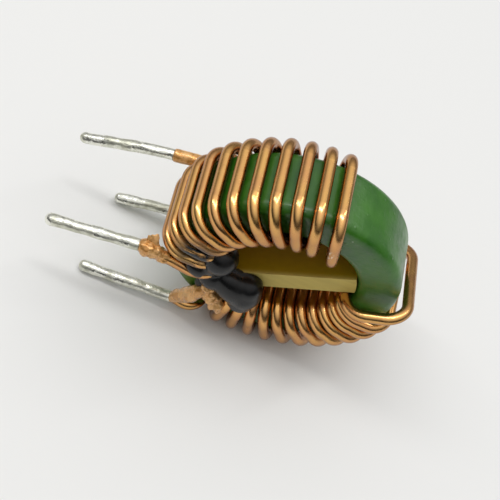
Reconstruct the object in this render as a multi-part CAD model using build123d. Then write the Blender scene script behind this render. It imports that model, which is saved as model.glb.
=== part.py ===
from build123d import *
import math
import os

# Ring core, measured over its coating
core_od = 25.0
core_id = 15.7
core_width = 7.5
coating_t = 0.35
edge_r = 1.1
ferrite_chamfer = 0.6

# Enamelled wire and how it lies on the core
wire_d = 1.3
wire_clearance = 0.08
face_bow = 0.6
loop_standoff = 0.55
loop_slack = 0.5
wide_bend_r = 4.0
tight_bend_r = 1.3

# Bare wire ends under their solder
bare_d = 1.1
tin_d = 1.3
tin_length_a = 7.7
tin_heel_a = 3.0
tin_length_b = 8.0
tin_length_c = 10.2
tin_length_d = 11.15

# Where the solder starts, clear of the turns, and the straight wire before it
root_gap_a = 1.75
root_gap_b = 2.5
root_gap_c = 2.4
root_gap_d = 1.8
neck_length = 0.5
neck_length_a = 7.2

# Lead C bends over a crest inside the ring's edge, then down to a dip just off the bore
crest_angle_c = 159.5
crest_inset_c = 1.0
dip_angle_c = 166.8
dip_outset_c = 2.8

# How far the raised leads fall towards their tips
heel_drop_a = 0.7
drop_a = 2.7
drop_c = 1.6

# How far the low leads stand off along the ring's axis, and how far lead D leans along it
root_shift_d = 0.9
lean_d = 0.5

# Divider board across the bore
divider_t = 2.6
divider_top = -0.2
divider_recess = 0.4
divider_clearance = 0.05

# Glue lobes: angle round the ring, place out from the bore's wall, proud of the core's face, radius
glue_lobes = {
    "upper": (157.0, -1.25, 0.45, 2.0),
    "lower": (205.0, -1.9, 0.45, 2.15),
    "drip": (219.0, -1.2, 0.85, 1.35),
    "shelf": (208.0, -3.5, 0.45, 1.5),
    "joint": (186.0, -0.9, 0.45, 1.5),
    "smear": (155.0, 0.5, 1.1, 1.15),
}

# Angle between the divider and the table
divider_tilt = 32.6

# Angles round the ring, counted from the right end of the divider
upper_outer_first = 55.0
upper_outer_pitch = 9.6
upper_bore_first = 45.0
upper_bore_pitch = 11.3
upper_bore_slant = -10.0
last_upper_bore = 36.0
last_bore_slant = -3.0
lower_outer_first = -38.7
lower_outer_pitch = -10.0
lower_outer_slant = 5.4
lower_bore_first = -29.6
lower_bore_pitch = -11.0
loop_front_angle = -18.0
loop_back_angle = -34.0
root_angle_a = 150.5
root_angle_b = -166.8
root_angle_c = 154.9
root_angle_d = -159.5
turns = 12

outer_r = core_od / 2 + wire_clearance + wire_d / 2
bore_r = core_id / 2 - wire_clearance - wire_d / 2
face_y = core_width / 2 + wire_clearance + wire_d / 2
run_y = face_y + face_bow
layer_y = run_y + wire_d + wire_clearance
layer_r = outer_r + wire_d + wire_clearance
bend_r = edge_r + wire_clearance + wire_d / 2
turn_r = bend_r + face_bow
centre_z = outer_r + wire_d / 2
loop_y = run_y + loop_standoff
tip_z = tin_d / 2 - centre_z


def at_angle(angle, radius, y):
    turn = math.radians(angle + divider_tilt)
    return Vector(radius * math.cos(turn), y, radius * math.sin(turn))


def ring_profile(inner, outer, width):
    return Pos((inner + outer) / 2, 0) * Rectangle(outer - inner, width)


def make_ferrite():
    inner = core_id / 2 + coating_t
    outer = core_od / 2 - coating_t
    section = ring_profile(inner, outer, core_width - 2 * coating_t)
    section = chamfer(section.vertices(), ferrite_chamfer)
    return revolve(section, Axis.Y, 360)


def make_full_core():
    section = ring_profile(core_id / 2, core_od / 2, core_width)
    section = fillet(section.vertices(), edge_r)
    return revolve(section, Axis.Y, 360)


def make_divider():
    across = core_id / 2 - divider_clearance
    bore_fill = Rot(90, 0, 0) * Cylinder(across, core_width)
    depth = core_width - 2 * divider_recess
    middle = divider_top - divider_t / 2
    board = Pos(0, 0, middle) * Box(core_id, depth, divider_t)
    piece = board & bore_fill
    return Rot(0, -divider_tilt, 0) * piece


def pass_over(angle, slant):
    return [at_angle(angle, outer_r, -run_y), at_angle(angle + slant, outer_r, run_y)]


def pass_through(angle, slant):
    return [at_angle(angle, bore_r, -run_y), at_angle(angle + slant, bore_r, run_y)]


def lead_end(start, length, drop, lean):
    reach = math.sqrt(length ** 2 - drop ** 2 - lean ** 2)
    return start + Vector(-reach, lean, -drop)


def lead_neck(lead, length):
    return lead[-1] + (lead[-1] - lead[-2]).normalized() * length


def upper_route():
    route = [lead_c[-1], lead_neck(lead_c, neck_length)]
    route.append(at_angle(crest_angle_c, outer_r - crest_inset_c, -run_y))
    route.append(at_angle(dip_angle_c, bore_r + dip_outset_c, -run_y))
    route += pass_through(upper_bore_first + (turns - 1) * upper_bore_pitch, upper_bore_slant)
    for k in range(turns - 2, 0, -1):
        route += reversed(pass_over(upper_outer_first + k * upper_outer_pitch, 0))
        route += pass_through(upper_bore_first + k * upper_bore_pitch, upper_bore_slant)
    route += reversed(pass_over(upper_outer_first, 0))
    route.append(at_angle(last_upper_bore, bore_r, -run_y))
    route.append(at_angle(last_upper_bore + last_bore_slant, bore_r, layer_y))
    route += [lead_neck(lead_a, neck_length_a), lead_a[-1]]
    return route


def lower_route():
    route = [lead_d[-1], lead_neck(lead_d, neck_length)]
    for k in range(turns - 1, -1, -1):
        route += pass_over(lower_outer_first + k * lower_outer_pitch, lower_outer_slant)
        route += reversed(pass_through(lower_bore_first + k * lower_bore_pitch, 0))
    route[-1] = at_angle(lower_bore_first, bore_r, -loop_y)
    route.append(at_angle(loop_front_angle, outer_r + loop_slack, -loop_y))
    route.append(at_angle(loop_back_angle, layer_r, layer_y))
    route += [lead_neck(lead_b, neck_length), lead_b[-1]]
    return route


def bent_line(points, radii):
    edges = []
    start = points[0]
    for before, corner, after, radius in zip(points, points[1:], points[2:], radii):
        way_in = (corner - before).normalized()
        way_out = (after - corner).normalized()
        reach = radius * math.tan(math.radians(way_in.get_angle(way_out)) / 2)
        edges.append(Line(start, corner - way_in * reach))
        edges.append(TangentArc(corner - way_in * reach, corner + way_out * reach, tangent=way_in))
        start = corner + way_out * reach
    edges.append(Line(start, points[-1]))
    return Wire(edges)


def make_wire(points, radii, diameter):
    start = Plane(origin=points[0], z_dir=(points[1] - points[0]).normalized())
    return sweep(start * Circle(diameter / 2), path=bent_line(points, radii))


def make_bare_end(lead):
    ball_centre = lead[0] + (lead[1] - lead[0]).normalized() * tin_d / 2
    return make_wire([ball_centre] + lead[1:], [wide_bend_r] * (len(lead) - 2), bare_d)


def make_tin(lead):
    ball_centre = lead[0] + (lead[1] - lead[0]).normalized() * tin_d / 2
    coat = make_wire([ball_centre] + lead[1:], [wide_bend_r] * (len(lead) - 2), tin_d)
    coat += Pos(*ball_centre) * Sphere(tin_d / 2)
    return coat - make_bare_end(lead)


def make_upper_winding():
    route = upper_route()
    radii = [bend_r, wide_bend_r, tight_bend_r, bend_r] + [turn_r] * (len(route) - 6)
    wire = make_wire(route, radii, wire_d)
    return wire + make_bare_end(lead_a) + make_bare_end(lead_c)


def make_lower_winding():
    route = lower_route()
    wire = make_wire(route, [bend_r, bend_r] + [turn_r] * (len(route) - 4), wire_d)
    return wire + make_bare_end(lead_b) + make_bare_end(lead_d)


def make_glue(core, divider, upper, lower):
    lump = None
    for angle, outset, proud, radius in glue_lobes.values():
        centre = at_angle(angle, core_id / 2 + outset, -core_width / 2 - proud)
        lobe = Pos(*centre) * Rot(90, 0, 0) * Sphere(radius)
        lump = lump + lobe if lump else lobe
    lump = lump - core
    lump = lump - divider
    lump = lump - upper
    lump = lump - lower
    return max(lump.solids(), key=lambda piece: piece.volume)


# Each lead from its tip to where its solder stops
root_a = at_angle(root_angle_a, outer_r + root_gap_a, layer_y)
root_b = at_angle(root_angle_b, outer_r + root_gap_b, layer_y)
root_c = at_angle(root_angle_c, outer_r + root_gap_c, -run_y)
root_d = at_angle(root_angle_d, outer_r + root_gap_d, -run_y + root_shift_d)
knee_a = lead_end(root_a, tin_heel_a, heel_drop_a, 0)
lead_a = [lead_end(knee_a, tin_length_a, drop_a, 0), knee_a, root_a]
lead_b = [lead_end(root_b, tin_length_b, root_b.Z - tip_z, 0), root_b]
lead_c = [lead_end(root_c, tin_length_c, drop_c, 0), root_c]
lead_d = [lead_end(root_d, tin_length_d, root_d.Z - tip_z, lean_d), root_d]

full_core = make_full_core()
ferrite = make_ferrite()
divider = make_divider()
upper_winding = make_upper_winding()
lower_winding = make_lower_winding()

parts = {
    "ferrite_core": ferrite,
    "core_coating": full_core - ferrite,
    "divider": divider,
    "upper_winding": upper_winding,
    "lower_winding": lower_winding,
    "solder_tip_a": make_tin(lead_a),
    "solder_tip_b": make_tin(lead_b),
    "solder_tip_c": make_tin(lead_c),
    "solder_tip_d": make_tin(lead_d),
    "glue": make_glue(full_core, divider, upper_winding, lower_winding),
}

# The origin is put at the middle of the base
whole = Compound(children=[Compound(piece.wrapped) for piece in parts.values()]).bounding_box()
shift = Pos(-whole.center().X, -whole.center().Y, -whole.min.Z)
print("shift", -whole.center().X, -whole.center().Y, -whole.min.Z)
os.makedirs("parts", exist_ok=True)
for name, piece in parts.items():
    export_step(shift * piece, "parts/" + name + ".step")
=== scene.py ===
import math

import bmesh
import bpy
from mathutils import Matrix, Vector, noise


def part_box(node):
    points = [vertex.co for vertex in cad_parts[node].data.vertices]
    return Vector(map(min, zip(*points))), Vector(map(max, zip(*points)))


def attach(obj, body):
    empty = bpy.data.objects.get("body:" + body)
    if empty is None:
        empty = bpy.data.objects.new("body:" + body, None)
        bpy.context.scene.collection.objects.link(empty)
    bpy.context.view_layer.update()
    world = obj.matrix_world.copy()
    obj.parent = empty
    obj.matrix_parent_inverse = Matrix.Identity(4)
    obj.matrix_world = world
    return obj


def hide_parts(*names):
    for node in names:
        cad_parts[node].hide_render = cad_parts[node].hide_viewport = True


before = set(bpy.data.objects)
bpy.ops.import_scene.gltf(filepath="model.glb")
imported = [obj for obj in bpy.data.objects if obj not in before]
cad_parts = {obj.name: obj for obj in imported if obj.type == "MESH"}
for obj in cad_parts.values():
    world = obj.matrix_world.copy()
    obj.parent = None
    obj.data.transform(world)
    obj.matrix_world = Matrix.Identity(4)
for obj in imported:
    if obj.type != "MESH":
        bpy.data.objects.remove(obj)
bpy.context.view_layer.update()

mm = 0.001
scene = bpy.context.scene

# The ring's place in the row frame; below, places are in millimetres from the ring's centre
coreLow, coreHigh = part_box("core_coating")
ringCentre = (coreLow + coreHigh) / 2
floorLevel = -ringCentre.z / mm
toRow = Matrix.Translation(ringCentre) @ Matrix.Scale(mm, 4)


def fromRing(point):
    return tuple(centre / mm + part for centre, part in zip(ringCentre, point))


# Node helpers
def addNode(tree, kind, links=None, **settings):
    node = tree.nodes.new(kind)
    for name, value in settings.items():
        setattr(node, name, value)
    for name, value in (links or {}).items():
        if isinstance(value, bpy.types.NodeSocket):
            tree.links.new(value, node.inputs[name])
        else:
            node.inputs[name].default_value = value
    return node


def addMath(tree, operation, first, second=0.0):
    return addNode(tree, "ShaderNodeMath", {0: first, 1: second}, operation=operation).outputs[0]


# A mix node's colour sockets go by number, because their names repeat
mixSockets = {
    "factor": 0,
    "colourA": 6,
    "colourB": 7,
    "result": 2,
}


def addMix(tree, factor, colourA, colourB):
    node = addNode(tree, "ShaderNodeMix", {mixSockets["factor"]: factor}, data_type="RGBA")
    for name, value in (("colourA", colourA), ("colourB", colourB)):
        socket = node.inputs[mixSockets[name]]
        if isinstance(value, bpy.types.NodeSocket):
            tree.links.new(value, socket)
        else:
            socket.default_value = (*value, 1)
    return node.outputs[mixSockets["result"]]


def addRange(tree, value, low, high, outLow=0.0, outHigh=1.0):
    links = {"Value": value, "From Min": low, "From Max": high, "To Min": outLow, "To Max": outHigh}
    return addNode(tree, "ShaderNodeMapRange", links).outputs[0]


def addStretch(tree, place, scale, turn=0.0):
    links = {"Vector": place, "Rotation": (0.0, math.radians(turn), 0.0), "Scale": scale}
    return addNode(tree, "ShaderNodeMapping", links).outputs[0]


def newGroup(name, inputs, outputs):
    group = bpy.data.node_groups.new(name, "ShaderNodeTree")
    for label, kind, default in inputs:
        socket = group.interface.new_socket(label, in_out="INPUT", socket_type=kind)
        if default is not None:
            socket.default_value = default
    for label, kind in outputs:
        group.interface.new_socket(label, in_out="OUTPUT", socket_type=kind)
    return group, group.nodes.new("NodeGroupInput"), group.nodes.new("NodeGroupOutput")


def useGroup(tree, group, **values):
    node = tree.nodes.new("ShaderNodeGroup")
    node.node_tree = group
    for name, value in values.items():
        if isinstance(value, bpy.types.NodeSocket):
            tree.links.new(value, node.inputs[name])
        else:
            node.inputs[name].default_value = value
    return node.outputs


noiseSettings = {
    "patchDetail": 3.0,
    "patchRoughness": 0.55,
    "waverDetail": 2.0,
    "finerBy": 5.0,
    "emptyCells": 0.6,
}


# Soft patches of a stated size, from a noise in millimetres
def makePatchGroup():
    sockets = [("Place", "NodeSocketVector", None), ("Size", "NodeSocketFloat", 1.0),
               ("Low", "NodeSocketFloat", 0.4), ("High", "NodeSocketFloat", 0.6)]
    group, start, end = newGroup("patches", sockets, [("Mask", "NodeSocketFloat")])
    scale = addMath(group, "DIVIDE", 1.0, start.outputs["Size"])
    links = {"Vector": start.outputs["Place"], "Scale": scale, "Detail": noiseSettings["patchDetail"],
             "Roughness": noiseSettings["patchRoughness"]}
    grain = addNode(group, "ShaderNodeTexNoise", links)
    mask = addRange(group, grain.outputs[0], start.outputs["Low"], start.outputs["High"])
    group.links.new(mask, end.inputs["Mask"])
    return group


# A waver in the surface, for bumps: a broad one with a share of a finer one
def makeWaverGroup():
    sockets = [("Place", "NodeSocketVector", None), ("Size", "NodeSocketFloat", 1.0),
               ("Fine", "NodeSocketFloat", 0.2)]
    group, start, end = newGroup("waver", sockets, [("Height", "NodeSocketFloat")])
    scale = addMath(group, "DIVIDE", 1.0, start.outputs["Size"])
    links = {"Vector": start.outputs["Place"], "Detail": noiseSettings["waverDetail"], "Scale": scale}
    broad = addNode(group, "ShaderNodeTexNoise", links)
    links["Scale"] = addMath(group, "MULTIPLY", scale, noiseSettings["finerBy"])
    small = addNode(group, "ShaderNodeTexNoise", links)
    share = addMath(group, "MULTIPLY", small.outputs[0], start.outputs["Fine"])
    group.links.new(addMath(group, "ADD", broad.outputs[0], share), end.inputs["Height"])
    return group


# Small round grains, one in each cell that isn't left empty
def makeSpeckGroup():
    sockets = [("Place", "NodeSocketVector", None), ("Spacing", "NodeSocketFloat", 1.0),
               ("Reach", "NodeSocketFloat", 0.1)]
    group, start, end = newGroup("specks", sockets, [("Mask", "NodeSocketFloat")])
    scale = addMath(group, "DIVIDE", 1.0, start.outputs["Spacing"])
    cells = addNode(group, "ShaderNodeTexVoronoi", {"Vector": start.outputs["Place"], "Scale": scale})
    inside = addRange(group, cells.outputs["Distance"], start.outputs["Reach"], 0.0)
    pick = addNode(group, "ShaderNodeSeparateColor", {"Color": cells.outputs["Color"]})
    chosen = addMath(group, "GREATER_THAN", pick.outputs[0], noiseSettings["emptyCells"])
    group.links.new(addMath(group, "MULTIPLY", inside, chosen), end.inputs["Mask"])
    return group


# 1 within the inner radius of a stated point, falling to 0 at the outer one
def makeNearGroup():
    sockets = [("Place", "NodeSocketVector", None), ("Centre", "NodeSocketVector", (0.0, 0.0, 0.0)),
               ("Inner", "NodeSocketFloat", 0.5), ("Outer", "NodeSocketFloat", 1.0)]
    group, start, end = newGroup("near", sockets, [("Mask", "NodeSocketFloat")])
    gap = addNode(group, "ShaderNodeVectorMath", {0: start.outputs["Place"], 1: start.outputs["Centre"]},
                  operation="DISTANCE").outputs["Value"]
    mask = addRange(group, gap, start.outputs["Outer"], start.outputs["Inner"])
    group.links.new(mask, end.inputs["Mask"])
    return group


patches = makePatchGroup()
waver = makeWaverGroup()
specks = makeSpeckGroup()
near = makeNearGroup()


def newMaterial(name):
    material = bpy.data.materials.new(name)
    material.use_nodes = True
    tree = material.node_tree
    shader = tree.nodes["Principled BSDF"]
    place = addNode(tree, "ShaderNodeTexCoord").outputs["Object"]
    return material, tree, shader, addStretch(tree, place, (1 / mm,) * 3)


def feed(tree, shader, **values):
    for name, value in values.items():
        socket = shader.inputs[name.replace("_", " ")]
        if isinstance(value, bpy.types.NodeSocket):
            tree.links.new(value, socket)
        elif isinstance(value, tuple):
            socket.default_value = (*value, 1)
        else:
            socket.default_value = value


def addBump(tree, height, strength, depth):
    links = {"Height": height, "Strength": strength, "Distance": depth * mm}
    return addNode(tree, "ShaderNodeBump", links).outputs[0]


def patchMask(tree, place, size, low, high):
    return useGroup(tree, patches, Place=place, Size=size, Low=low, High=high)["Mask"]


def speckMask(tree, place, spacing, reach):
    return useGroup(tree, specks, Place=place, Spacing=spacing, Reach=reach)["Mask"]


def waverHeight(tree, place, size, fine):
    return useGroup(tree, waver, Place=place, Size=size, Fine=fine)["Height"]


def nearMask(tree, place, centre, inner, outer):
    return useGroup(tree, near, Place=place, Centre=fromRing(centre), Inner=inner, Outer=outer)["Mask"]


def addShare(tree, mask, share):
    return addMath(tree, "MULTIPLY", mask, share)


# In each look, lengths are in mm: a patch is its size and two noise levels, a waver its size and the share
# of its finer part, specks their spacing and reach, and a bump its strength and depth
copperLook = {
    "amber": (0.95, 0.56, 0.18),
    "rose": (0.88, 0.46, 0.18),
    "tonePatch": (3.0, 0.35, 0.65),
    # The edge colour is painted shade on the wire's flanks, partly the enamel's deeper tint at grazing
    # angles
    "edge": (0.22, 0.07, 0.018),
    "flankShadeBlend": 0.5,
    "flankShadePower": 0.85,
    "char": (0.16, 0.06, 0.02),
    "charPatch": (0.6, 0.68, 0.76),
    "charShare": 0.2,
    "roughness": (0.20, 0.30),
    "rubPatch": (1.6, 0.4, 0.7),
    "stain": (0.008, 0.008, 0.008),
    "stainCentre": (-10.0, -5.4, 0.9),
    "stainReach": (1.2, 3.0),
    "stainPatch": (0.7, 0.38, 0.48),
    "stainStretch": (0.3, 1.0, 1.4),
    "stainTurn": -40,
    "scuff": (0.9, 0.78, 0.6),
    "scuffCentre": (0.9, -5.7, 9.7),
    "scuffReach": (0.4, 1.1),
    "scuffPatch": (0.25, 0.55, 0.62),
    "coat": 0.15,
    "coatRoughness": 0.25,
    "waver": (1.8, 0.03),
    "bump": (0.25, 0.06),
}


# Amber enamel with painted shade on the wire's flanks, partly the enamel's deeper tint at grazing angles,
# with glue smeared at the left and one scuffed turn
def makeCopper():
    look = copperLook
    material, tree, shader, place = newMaterial("enamelledCopper")
    tone = patchMask(tree, place, *look["tonePatch"])
    colour = addMix(tree, tone, look["amber"], look["rose"])
    # Painted shade: the colour darkens towards the flanks as they turn away from the view, partly the
    # enamel's deeper tint there
    facing = addNode(tree, "ShaderNodeLayerWeight", {"Blend": look["flankShadeBlend"]}).outputs["Facing"]
    colour = addMix(tree, addMath(tree, "POWER", facing, look["flankShadePower"]), colour, look["edge"])
    char = patchMask(tree, place, *look["charPatch"])
    colour = addMix(tree, addShare(tree, char, look["charShare"]), colour, look["char"])
    rub = patchMask(tree, place, *look["rubPatch"])
    nearStain = nearMask(tree, place, look["stainCentre"], *look["stainReach"])
    stretched = addStretch(tree, place, look["stainStretch"], look["stainTurn"])
    stain = addMath(tree, "MULTIPLY", nearStain, patchMask(tree, stretched, *look["stainPatch"]))
    colour = addMix(tree, stain, colour, look["stain"])
    nearScuff = nearMask(tree, place, look["scuffCentre"], *look["scuffReach"])
    scuff = addMath(tree, "MULTIPLY", nearScuff, patchMask(tree, place, *look["scuffPatch"]))
    colour = addMix(tree, scuff, colour, look["scuff"])
    height = waverHeight(tree, place, *look["waver"])
    feed(tree, shader, Base_Color=colour, Metallic=addMath(tree, "SUBTRACT", 1.0, stain),
         Roughness=addRange(tree, rub, 0.0, 1.0, *look["roughness"]), Coat_Weight=look["coat"],
         Coat_Roughness=look["coatRoughness"], Normal=addBump(tree, height, *look["bump"]))
    return material


greenLook = {
    "deep": (0.022, 0.115, 0.007),
    "light": (0.045, 0.175, 0.013),
    "tonePatch": (4.0, 0.35, 0.65),
    # The glint colour is a painted highlight
    "paintedGlint": (0.85, 0.88, 0.78),
    "paintedGlintSpecks": (1.4, 0.09),
    "paintedGlintShare": 0.8,
    "roughness": (0.30, 0.44),
    "rubPatch": (1.0, 0.4, 0.7),
    "coat": 0.08,
    "coatRoughness": 0.15,
    "brushStretch": (1.0, 0.18, 1.0),
    "brushWaver": (0.8, 0.25),
    "brushShare": 0.6,
    "peelWaver": (1.3, 0.15),
    "grainSpecks": (0.9, 0.22),
    "grainShare": 0.8,
    "bump": (0.5, 0.12),
}


# Epoxy skin, brushed along the ring's axis, with grains under it and small pale specks of painted highlight
def makeGreen():
    look = greenLook
    material, tree, shader, place = newMaterial("greenEpoxy")
    colour = addMix(tree, patchMask(tree, place, *look["tonePatch"]), look["deep"], look["light"])
    # Painted highlights: small pale specks that stand in for glints on the glossy skin
    paintedGlints = speckMask(tree, place, *look["paintedGlintSpecks"])
    colour = addMix(tree, addShare(tree, paintedGlints, look["paintedGlintShare"]), colour, look["paintedGlint"])
    rub = patchMask(tree, place, *look["rubPatch"])
    brushed = waverHeight(tree, addStretch(tree, place, look["brushStretch"]), *look["brushWaver"])
    peel = waverHeight(tree, place, *look["peelWaver"])
    grains = speckMask(tree, place, *look["grainSpecks"])
    height = addMath(tree, "ADD", addShare(tree, brushed, look["brushShare"]), peel)
    height = addMath(tree, "ADD", height, addShare(tree, grains, look["grainShare"]))
    feed(tree, shader, Base_Color=colour, Roughness=addRange(tree, rub, 0.0, 1.0, *look["roughness"]),
         Coat_Weight=look["coat"], Coat_Roughness=look["coatRoughness"],
         Normal=addBump(tree, height, *look["bump"]))
    return material


dividerLook = {
    # The back colour is painted shade deep in the bore under the windings; the front colour is the board
    # where light reaches it
    "back": (0.14, 0.073, 0.001),
    "litFront": (0.36, 0.24, 0.004),
    "edge": (0.66, 0.52, 0.15),
    "frontY": -3.35,
    "fade": (5.5, 0.1),
    "shadeFadePower": 1.25,
    "rim": 0.7,
    "rimPower": 2.0,
    "fibreStretch": (0.25, 3.0, 3.0),
    "fibrePatch": (1.6, 0.35, 0.8),
    "fibreShare": 0.2,
    "roughness": 0.5,
    "specular": 0.1,
    "waver": (1.6, 0.1),
    "bump": (0.2, 0.03),
}


# Amber board with painted shade: dark at the back, deep in the bore under the windings, paler towards its
# front face
def makeDividerBoard():
    look = dividerLook
    material, tree, shader, place = newMaterial("dividerBoard")
    y = addNode(tree, "ShaderNodeSeparateXYZ", {"Vector": place}).outputs["Y"]
    frontY = ringCentre.y / mm + look["frontY"]
    shadeFadeStart, shadeFadeEnd = look["fade"]
    # Painted shade: the colour darkens from the front face towards the back of the bore
    fade = addRange(tree, y, frontY + shadeFadeStart, frontY + shadeFadeEnd)
    colour = addMix(tree, addMath(tree, "POWER", fade, look["shadeFadePower"]), look["back"], look["litFront"])
    rim = addMath(tree, "POWER", addRange(tree, y, frontY + look["rim"], frontY), look["rimPower"])
    colour = addMix(tree, rim, colour, look["edge"])
    fibre = addStretch(tree, place, look["fibreStretch"])
    streaks = patchMask(tree, fibre, *look["fibrePatch"])
    colour = addMix(tree, addShare(tree, streaks, look["fibreShare"]), colour, look["back"])
    height = waverHeight(tree, fibre, *look["waver"])
    feed(tree, shader, Base_Color=colour, Roughness=look["roughness"],
         Specular_IOR_Level=look["specular"], Normal=addBump(tree, height, *look["bump"]))
    return material


solderLook = {
    "bright": (0.88, 0.88, 0.79),
    "dull": (0.62, 0.62, 0.51),
    "tonePatch": (1.8, 0.42, 0.6),
    "grime": (0.12, 0.12, 0.10),
    "grimePatch": (0.5, 0.62, 0.74),
    "grimeShare": 0.35,
    "roughness": (0.22, 0.48),
    "waver": (0.9, 0.18),
    "bump": (0.8, 0.2),
}


def makeSolder():
    look = solderLook
    material, tree, shader, place = newMaterial("solder")
    tone = patchMask(tree, place, *look["tonePatch"])
    colour = addMix(tree, tone, look["bright"], look["dull"])
    grime = patchMask(tree, place, *look["grimePatch"])
    colour = addMix(tree, addShare(tree, grime, look["grimeShare"]), colour, look["grime"])
    height = waverHeight(tree, place, *look["waver"])
    feed(tree, shader, Base_Color=colour, Metallic=1.0,
         Roughness=addRange(tree, tone, 0.0, 1.0, *look["roughness"]),
         Normal=addBump(tree, height, *look["bump"]))
    return material


glueLook = {
    "black": (0.003, 0.003, 0.0033),
    "grey": (0.008, 0.008, 0.0085),
    "tonePatch": (2.0, 0.35, 0.65),
    "roughness": (0.24, 0.40),
    "specular": 0.35,
    "coat": 0.1,
    "coatRoughness": 0.08,
    "waver": (1.6, 0.1),
    "bump": (0.2, 0.06),
}


def makeBlackEpoxy():
    look = glueLook
    material, tree, shader, place = newMaterial("blackEpoxy")
    tone = patchMask(tree, place, *look["tonePatch"])
    height = waverHeight(tree, place, *look["waver"])
    feed(tree, shader, Base_Color=addMix(tree, tone, look["black"], look["grey"]),
         Roughness=addRange(tree, tone, 0.0, 1.0, *look["roughness"]),
         Specular_IOR_Level=look["specular"], Coat_Weight=look["coat"],
         Coat_Roughness=look["coatRoughness"], Normal=addBump(tree, height, *look["bump"]))
    return material


ferriteLook = {
    "dark": (0.045, 0.045, 0.048),
    "light": (0.075, 0.075, 0.08),
    "tonePatch": (0.6, 0.3, 0.7),
    "roughness": 0.6,
    "waver": (0.3, 0.4),
    "bump": (0.4, 0.05),
}


def makeFerrite():
    look = ferriteLook
    material, tree, shader, place = newMaterial("ferrite")
    tone = patchMask(tree, place, *look["tonePatch"])
    height = waverHeight(tree, place, *look["waver"])
    feed(tree, shader, Base_Color=addMix(tree, tone, look["dark"], look["light"]),
         Roughness=look["roughness"], Normal=addBump(tree, height, *look["bump"]))
    return material


varnishLook = {
    "amber": (0.62, 0.29, 0.07),
    "pale": (0.84, 0.47, 0.17),
    "tonePatch": (1.0, 0.4, 0.6),
    "burnt": (0.14, 0.09, 0.02),
    "burntPatch": (0.6, 0.55, 0.68),
    "burntShare": 0.35,
    "metal": 0.5,
    "roughness": (0.16, 0.40),
    "coat": 0.7,
    "waver": (0.5, 0.4),
    "bump": (0.6, 0.09),
}


def makeVarnish():
    look = varnishLook
    material, tree, shader, place = newMaterial("burntVarnish")
    tone = patchMask(tree, place, *look["tonePatch"])
    colour = addMix(tree, tone, look["amber"], look["pale"])
    burn = patchMask(tree, place, *look["burntPatch"])
    colour = addMix(tree, addShare(tree, burn, look["burntShare"]), colour, look["burnt"])
    height = waverHeight(tree, place, *look["waver"])
    feed(tree, shader, Base_Color=colour, Metallic=look["metal"],
         Roughness=addRange(tree, tone, 0.0, 1.0, *look["roughness"]), Coat_Weight=look["coat"],
         Normal=addBump(tree, height, *look["bump"]))
    return material


copper = makeCopper()
greenEpoxy = makeGreen()
dividerBoard = makeDividerBoard()
solder = makeSolder()
blackEpoxy = makeBlackEpoxy()
ferrite = makeFerrite()
varnish = makeVarnish()
print("materials made")


def dressNode(name, material):
    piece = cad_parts[name]
    piece.data.materials.clear()
    piece.data.materials.append(material)


dressNode("core_coating", greenEpoxy)
dressNode("ferrite_core", ferrite)
dressNode("divider", dividerBoard)
dressNode("upper_winding", copper)
dressNode("lower_winding", copper)
print("CAD nodes dressed")


# A piece's mesh is moved from ring millimetres to the row frame, and the piece rides on the root
def finishPiece(name, bm, material, replaced=()):
    bmesh.ops.transform(bm, matrix=toRow, verts=bm.verts)
    mesh = bpy.data.meshes.new(name)
    bm.to_mesh(mesh)
    bm.free()
    mesh.materials.append(material)
    for face in mesh.polygons:
        face.use_smooth = True
    piece = bpy.data.objects.new(name, mesh)
    scene.collection.objects.link(piece)
    if replaced:
        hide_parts(*replaced)
    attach(piece, "root")


# The divider's tilt, the radius of the solder, where the wire's middle runs over the ring's outside, over
# its faces and in the second layer at the back, and the radius of its first bend
ring = {
    "tilt": 32.6,
    "tinR": 0.65,
    "outerR": 13.23,
    "runY": 5.08,
    "layerY": 6.46,
    "bendR": 1.83,
}


def atAngle(angle, radius, y):
    turn = math.radians(angle + ring["tilt"])
    return Vector((radius * math.cos(turn), y, radius * math.sin(turn)))


# The root of each lead, where its solder stops, and the crest that lead C's wire bends over: angle, distance
# beyond the turns, and y. Then the lengths of the solder, how far it drops or leans, and the necks of wire
leadSizes = {
    "rootA": (150.5, 1.75, ring["layerY"]),
    "rootB": (-166.8, 2.5, ring["layerY"]),
    "rootC": (154.9, 2.4, -ring["runY"]),
    "rootD": (-159.5, 1.8, -ring["runY"] + 0.9),
    "crestC": (159.5, -1.0, -ring["runY"]),
    "heelA": 3.0,
    "heelDropA": 0.7,
    "lengthA": 7.7,
    "dropA": 2.7,
    "lengthB": 8.0,
    "lengthC": 10.2,
    "dropC": 1.6,
    "lengthD": 11.15,
    "leanD": 0.5,
    "neckA": 4.0,
    "neckC": 0.5,
}


def leadPlace(name):
    angle, beyond, y = leadSizes[name]
    return atAngle(angle, ring["outerR"] + beyond, y)


def leadEnd(start, length, drop, lean=0.0):
    reach = math.sqrt(length ** 2 - drop ** 2 - lean ** 2)
    return start + Vector((-reach, lean, -drop))


# The wire's direction is carried on from the root towards the winding
def leadNeck(lead, length):
    return lead[-1] + (lead[-1] - lead[-2]).normalized() * length


rootA, rootB, rootC, rootD = (leadPlace(name) for name in ("rootA", "rootB", "rootC", "rootD"))
kneeA = leadEnd(rootA, leadSizes["heelA"], leadSizes["heelDropA"])
tipZ = ring["tinR"] + floorLevel
leads = {
    "A": [leadEnd(kneeA, leadSizes["lengthA"], leadSizes["dropA"]), kneeA, rootA],
    "B": [leadEnd(rootB, leadSizes["lengthB"], rootB.z - tipZ), rootB],
    "C": [leadEnd(rootC, leadSizes["lengthC"], leadSizes["dropC"]), rootC],
    "D": [leadEnd(rootD, leadSizes["lengthD"], rootD.z - tipZ, leadSizes["leanD"]), rootD],
}


# The point and direction at a distance along a line of straight runs
def alongRuns(points, distance):
    for first, second in zip(points, points[1:]):
        run = (second - first).length
        if distance <= run or second is points[-1]:
            way = (second - first).normalized()
            return first + way * distance, way
        distance -= run


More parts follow.
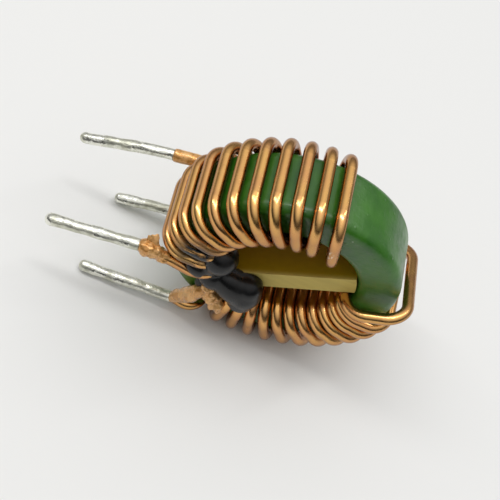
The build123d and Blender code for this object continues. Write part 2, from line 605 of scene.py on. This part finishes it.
# A line of straight runs with an arc of one radius at each inner corner
def roundRuns(points, radius, steps=10):
    line = [points[0]]
    for before, corner, after in zip(points, points[1:], points[2:]):
        wayIn = (corner - before).normalized()
        wayOut = (after - corner).normalized()
        half = wayIn.angle(wayOut) / 2
        centre = corner + (wayOut - wayIn).normalized() * radius / math.cos(half)
        spoke = corner - wayIn * radius * math.tan(half) - centre
        axis = wayIn.cross(wayOut).normalized()
        for step in range(steps + 1):
            line.append(centre + Matrix.Rotation(2 * half * step / steps, 3, axis) @ spoke)
    return line + [points[-1]]


# Coats are merged at their poles, and reach neither the floor nor further back than the solder does
coatLimits = {
    "merge": 0.001,
    "floorGap": 0.01,
    "back": ring["layerY"] + ring["tinR"],
}


# A closed round coat along a line: the profile holds radius and distance, and swell scales each point
def coatLine(line, profile, around, swell):
    bm = bmesh.new()
    verts = [bm.verts.new((radius, 0, distance)) for radius, distance in profile]
    edges = [bm.edges.new(pair) for pair in zip(verts, verts[1:])]
    bmesh.ops.spin(bm, geom=verts + edges, cent=(0, 0, 0), axis=(0, 0, 1), angle=math.tau,
                   steps=around, use_merge=True)
    bmesh.ops.remove_doubles(bm, verts=bm.verts, dist=coatLimits["merge"])
    for vert in bm.verts:
        x, y, distance = vert.co
        centre, way = alongRuns(line, distance)
        side = way.cross(Vector((0, 1, 0))).normalized()
        other = side.cross(way)
        vert.co = centre + (side * x + other * y) * swell(vert.co)
        vert.co.y = min(vert.co.y, coatLimits["back"])
        vert.co.z = max(vert.co.z, floorLevel + coatLimits["floorGap"])
    bmesh.ops.recalc_face_normals(bm, faces=bm.faces)
    return bm


# Tinned wire ends: a rounded tip, then slow lumps that fade out at the root
tinning = {
    "radius": ring["tinR"],
    "tipSteps": 8,
    "ringStep": 0.16,
    "around": 40,
    "kneeBend": 4.0,
    "lump": 0.09,
    "lumpLength": 1.7,
    "lumpAcross": 0.8,
    "seedStep": 9.1,
    "fadeLength": 0.6,
}


def makeTin(letter, points, seed):
    t = tinning
    line = roundRuns(points, t["kneeBend"])
    length = sum((after - before).length for before, after in zip(line, line[1:]))
    shank = length - t["radius"]
    profile = []
    for step in range(t["tipSteps"] + 1):
        angle = math.pi / 2 * step / t["tipSteps"]
        profile.append((t["radius"] * math.sin(angle), t["radius"] * (1 - math.cos(angle))))
    rings = int(shank / t["ringStep"])
    profile += [(t["radius"], t["radius"] + shank * (k + 1) / rings) for k in range(rings)]
    profile.append((0.0, length))

    def swell(point):
        fade = min(1.0, (length - point.z) / t["fadeLength"])
        place = Vector((point.x * t["lumpAcross"], point.y * t["lumpAcross"] + seed * t["seedStep"],
                        point.z / t["lumpLength"]))
        return 1 + t["lump"] / t["radius"] * noise.noise(place) * fade

    bm = coatLine(line, profile, t["around"], swell)
    finishPiece("tinnedEnd" + letter, bm, solder, ["solder_tip_" + letter.lower()])


for seed, (letter, points) in enumerate(leads.items(), 1):
    makeTin(letter, points, seed)
print("tinned ends made")


# Burnt varnish where the wires leave the solder, and over the lower turns. Each coat has its line, the
# line's bend, distances from the line's start with the radii there, and its lumps
varnishCoats = {
    "start": 0.02,
    "ringStep": 0.12,
    "around": 36,
    "seedStep": 7.3,
    "tearScale": 2.3,
    "tearShare": 0.5,
    "fadeLength": 0.3,
    "coats": {
        "varnishSleeveA": {
            "line": [rootA, leadNeck(leads["A"], leadSizes["neckA"])],
            "bend": 0.0,
            "radii": [(0.0, 0.72), (0.3, 0.76), (1.2, 0.75), (2.4, 0.73), (2.9, 0.67), (3.2, 0.62)],
            "lump": 0.05,
            "lumpSize": 0.9,
        },
        "varnishCrustC": {
            "line": [rootC, leadNeck(leads["C"], leadSizes["neckC"]), leadPlace("crestC")],
            "bend": ring["bendR"],
            "radii": [(0.0, 0.68), (0.4, 0.86), (1.3, 0.92), (2.1, 0.80), (2.8, 0.72), (3.5, 0.60)],
            "lump": 0.26,
            "lumpSize": 0.55,
        },
        "varnishCrustTurns": {
            "line": [Vector((-6.9, -4.6, -5.9)), Vector((-5.2, -4.9, -7.6)), Vector((-3.3, -5.2, -9.4))],
            "bend": 3.0,
            "radii": [(0.0, 0.4), (0.6, 0.85), (1.8, 0.95), (3.2, 0.95), (4.2, 0.75), (4.8, 0.3)],
            "lump": 0.34,
            "lumpSize": 0.6,
        },
        "varnishCrustD": {
            "line": [rootD, Vector((-7.5, -4.7, -8.8)), Vector((-6.5, -4.8, -6.3))],
            "bend": 3.0,
            "radii": [(0.0, 0.66), (0.5, 0.70), (1.8, 0.84), (3.4, 0.98), (5.0, 0.85), (6.1, 0.45)],
            "lump": 0.14,
            "lumpSize": 1.1,
        },
    },
}


def radiusAt(radii, distance):
    for (low, inner), (high, outer) in zip(radii, radii[1:]):
        if distance <= high:
            return inner + (outer - inner) * (distance - low) / (high - low)
    return radii[-1][1]


def makeVarnishCoat(name, spec, seed):
    v = varnishCoats
    end = spec["radii"][-1][0]
    rings = int(end / v["ringStep"])
    profile = [(0.0, v["start"])]
    for k in range(rings + 1):
        distance = v["start"] + (end - v["start"]) * k / rings
        profile.append((radiusAt(spec["radii"], distance), distance))
    profile.append((0.0, end))

    def swell(point):
        scale = 1 / spec["lumpSize"]
        place = Vector((point.x * scale, point.y * scale + seed * v["seedStep"], point.z * scale))
        torn = noise.noise(place * v["tearScale"]) * v["tearShare"] * spec["lump"]
        return 1 + (spec["lump"] * noise.noise(place) + torn) * min(1.0, point.z / v["fadeLength"])

    bm = coatLine(roundRuns(spec["line"], spec["bend"]), profile, v["around"], swell)
    finishPiece(name, bm, varnish)


for seed, (name, spec) in enumerate(varnishCoats["coats"].items(), 1):
    makeVarnishCoat(name, spec, seed)


# The loose flake that stands on lead C's crust: a thin sheet, torn at its edges and curled
flake = {
    "centre": (-14.3, -4.5, -1.15),
    "halfSizes": (0.62, 0.09, 0.60),
    "turns": (-50, -20, 15),
    "curl": 0.15,
    "curlShares": (0.6, 0.4),
    "tear": 0.35,
    "tearScale": 1.7,
    "cuts": 12,
}


def makeFlake():
    f = flake
    bm = bmesh.new()
    bmesh.ops.create_cube(bm, size=2.0)
    bmesh.ops.subdivide_edges(bm, edges=bm.edges, cuts=f["cuts"], use_grid_fill=True)
    turn = Matrix.Identity(4)
    for degrees, axis in zip(f["turns"], "XYZ"):
        turn = Matrix.Rotation(math.radians(degrees), 4, axis) @ turn
    place = Matrix.Translation(f["centre"]) @ turn @ Matrix.Diagonal((*f["halfSizes"], 1))
    shareX, shareZ = f["curlShares"]
    for vert in bm.verts:
        x, y, z = vert.co
        torn = 1 + f["tear"] * noise.noise(Vector((x * f["tearScale"], 0, z * f["tearScale"])))
        curl = f["curl"] / f["halfSizes"][1] * (x * x * shareX + z * z * shareZ)
        vert.co = place @ Vector((x * torn, y + curl, z * torn))
    bmesh.ops.recalc_face_normals(bm, faces=bm.faces)
    finishPiece("varnishFlakeC", bm, varnish)


makeFlake()
print("varnish coats made")


# Black glue: blobs that a remesh melts into one. Each is its angle round the ring, its distance from the
# ring's axis, its y, its half sizes and its turn in the ring's plane
glue = {
    "voxel": 0.11,
    "smoothing": 40,
    "smoothFactor": 0.5,
    "subdivisions": 4,
    "blobs": [
        (151.0, 7.10, -4.00, (2.00, 1.95, 2.00), 0),
        (162.1, 7.72, -3.90, (1.70, 1.60, 1.70), 0),
        (163.0, 9.30, -5.15, (1.50, 0.75, 0.85), 35),
        (181.2, 7.78, -4.10, (1.70, 1.55, 1.70), 0),
        (199.0, 5.90, -4.30, (3.50, 1.85, 2.10), 28),
        (203.0, 4.70, -4.20, (1.80, 1.80, 1.80), 0),
        (211.0, 5.60, -4.40, (1.90, 1.80, 2.40), 0),
        (216.0, 6.70, -4.60, (1.60, 1.50, 1.70), 0),
        (193.1, 9.58, -4.00, (1.60, 0.80, 1.20), 60),
    ],
}


def makeGlue():
    bm = bmesh.new()
    for angle, outward, y, sizes, turn in glue["blobs"]:
        place = Matrix.Translation(atAngle(angle, outward, y)) @ Matrix.Rotation(math.radians(turn), 4, "Y")
        bmesh.ops.create_icosphere(bm, subdivisions=glue["subdivisions"], radius=1.0,
                                   matrix=place @ Matrix.Diagonal((*sizes, 1)))
    mesh = bpy.data.meshes.new("glueBlobs")
    bm.to_mesh(mesh)
    bm.free()
    blobs = bpy.data.objects.new("glueBlobs", mesh)
    scene.collection.objects.link(blobs)
    remesh = blobs.modifiers.new("remesh", "REMESH")
    remesh.mode = "VOXEL"
    remesh.voxel_size = glue["voxel"]
    smoothing = blobs.modifiers.new("smooth", "SMOOTH")
    smoothing.factor = glue["smoothFactor"]
    smoothing.iterations = glue["smoothing"]
    evaluated = blobs.evaluated_get(bpy.context.evaluated_depsgraph_get())
    joined = bmesh.new()
    joined.from_mesh(evaluated.to_mesh())
    evaluated.to_mesh_clear()
    bpy.data.objects.remove(blobs)
    finishPiece("glueLump", joined, blackEpoxy, ["glue"])


makeGlue()
print("glue made")


# Floor, lights and room, in metres; places from the ring's centre
stageLook = {
    "floor": (0.84, 0.84, 0.825),
    "floorRoughness": 0.75,
    "floorSize": 30.0,
    "lamps": [
        {"place": (-0.27, 0.05, 0.6), "size": (0.07, 0.7), "power": 1.3},
        {"place": (0.17, 0.15, 0.6), "size": (0.05, 0.6), "power": 0.75},
    ],
    "worldStrength": 1.06,
    "pale": (1.0, 1.0, 1.0),
    "dark": (0.025, 0.024, 0.024),
    "overhead": (0.35, 0.9),
    "overheadShare": 0.8,
    "behind": (-0.5, 0.4),
    "behindShare": 0.25,
}


def makeFloor():
    bm = bmesh.new()
    bmesh.ops.create_grid(bm, x_segments=1, y_segments=1, size=stageLook["floorSize"] / 2)
    mesh = bpy.data.meshes.new("floor")
    bm.to_mesh(mesh)
    bm.free()
    floor = bpy.data.objects.new("floor", mesh)
    scene.collection.objects.link(floor)
    material, tree, shader = newMaterial("floorPaper")[:3]
    feed(tree, shader, Base_Color=stageLook["floor"], Roughness=stageLook["floorRoughness"])
    mesh.materials.append(material)


def makeLamp(number, spec):
    data = bpy.data.lights.new("lamp" + str(number), "AREA")
    data.shape = "RECTANGLE"
    data.size, data.size_y = spec["size"]
    data.energy = spec["power"]
    lamp = bpy.data.objects.new(data.name, data)
    lamp.location = ringCentre + Vector(spec["place"])
    lamp.rotation_mode = "QUATERNION"
    scene.collection.objects.link(lamp)
    lamp.rotation_quaternion = (ringCentre - lamp.location).to_track_quat("-Z", "Y")


# Pale ceiling, darker room towards the viewer
def makeWorld():
    world = bpy.data.worlds.new("room")
    scene.world = world
    world.use_nodes = True
    tree = world.node_tree
    way = addNode(tree, "ShaderNodeTexCoord").outputs["Generated"]
    parts = addNode(tree, "ShaderNodeSeparateXYZ", {"Vector": way})
    overhead = addRange(tree, parts.outputs["Z"], *stageLook["overhead"])
    behind = addRange(tree, parts.outputs["Y"], *stageLook["behind"])
    amount = addMath(tree, "ADD", addShare(tree, overhead, stageLook["overheadShare"]),
                     addShare(tree, behind, stageLook["behindShare"]))
    colour = addMix(tree, amount, stageLook["dark"], stageLook["pale"])
    background = tree.nodes["Background"]
    tree.links.new(colour, background.inputs["Color"])
    background.inputs["Strength"].default_value = stageLook["worldStrength"]


# The camera's place in millimetres, and the directions of its picture's right and top
cameraSpec = {
    "place": (-26.34, -58.56, 89.45),
    "right": (0.9135, 0.2023, 0.3529),
    "up": (-0.352, 0.828, 0.4364),
    "lens": 72.81,
    "sensor": 36.0,
    "clip": (0.005, 10.0),
}


def makeCamera():
    data = bpy.data.cameras.new("camera")
    data.lens = cameraSpec["lens"]
    data.sensor_width = cameraSpec["sensor"]
    data.clip_start, data.clip_end = cameraSpec["clip"]
    camera = bpy.data.objects.new("camera", data)
    right = Vector(cameraSpec["right"]).normalized()
    up = Vector(cameraSpec["up"])
    up = (up - right * up.dot(right)).normalized()
    turn = Matrix((right, up, right.cross(up))).transposed().to_4x4()
    camera.matrix_world = Matrix.Translation(ringCentre + Vector(cameraSpec["place"]) * mm) @ turn
    scene.collection.objects.link(camera)
    scene.camera = camera


makeFloor()
for number, spec in enumerate(stageLook["lamps"]):
    makeLamp(number, spec)
makeWorld()
makeCamera()
scene.view_settings.view_transform = "Standard"
print("floor, lights and camera placed")
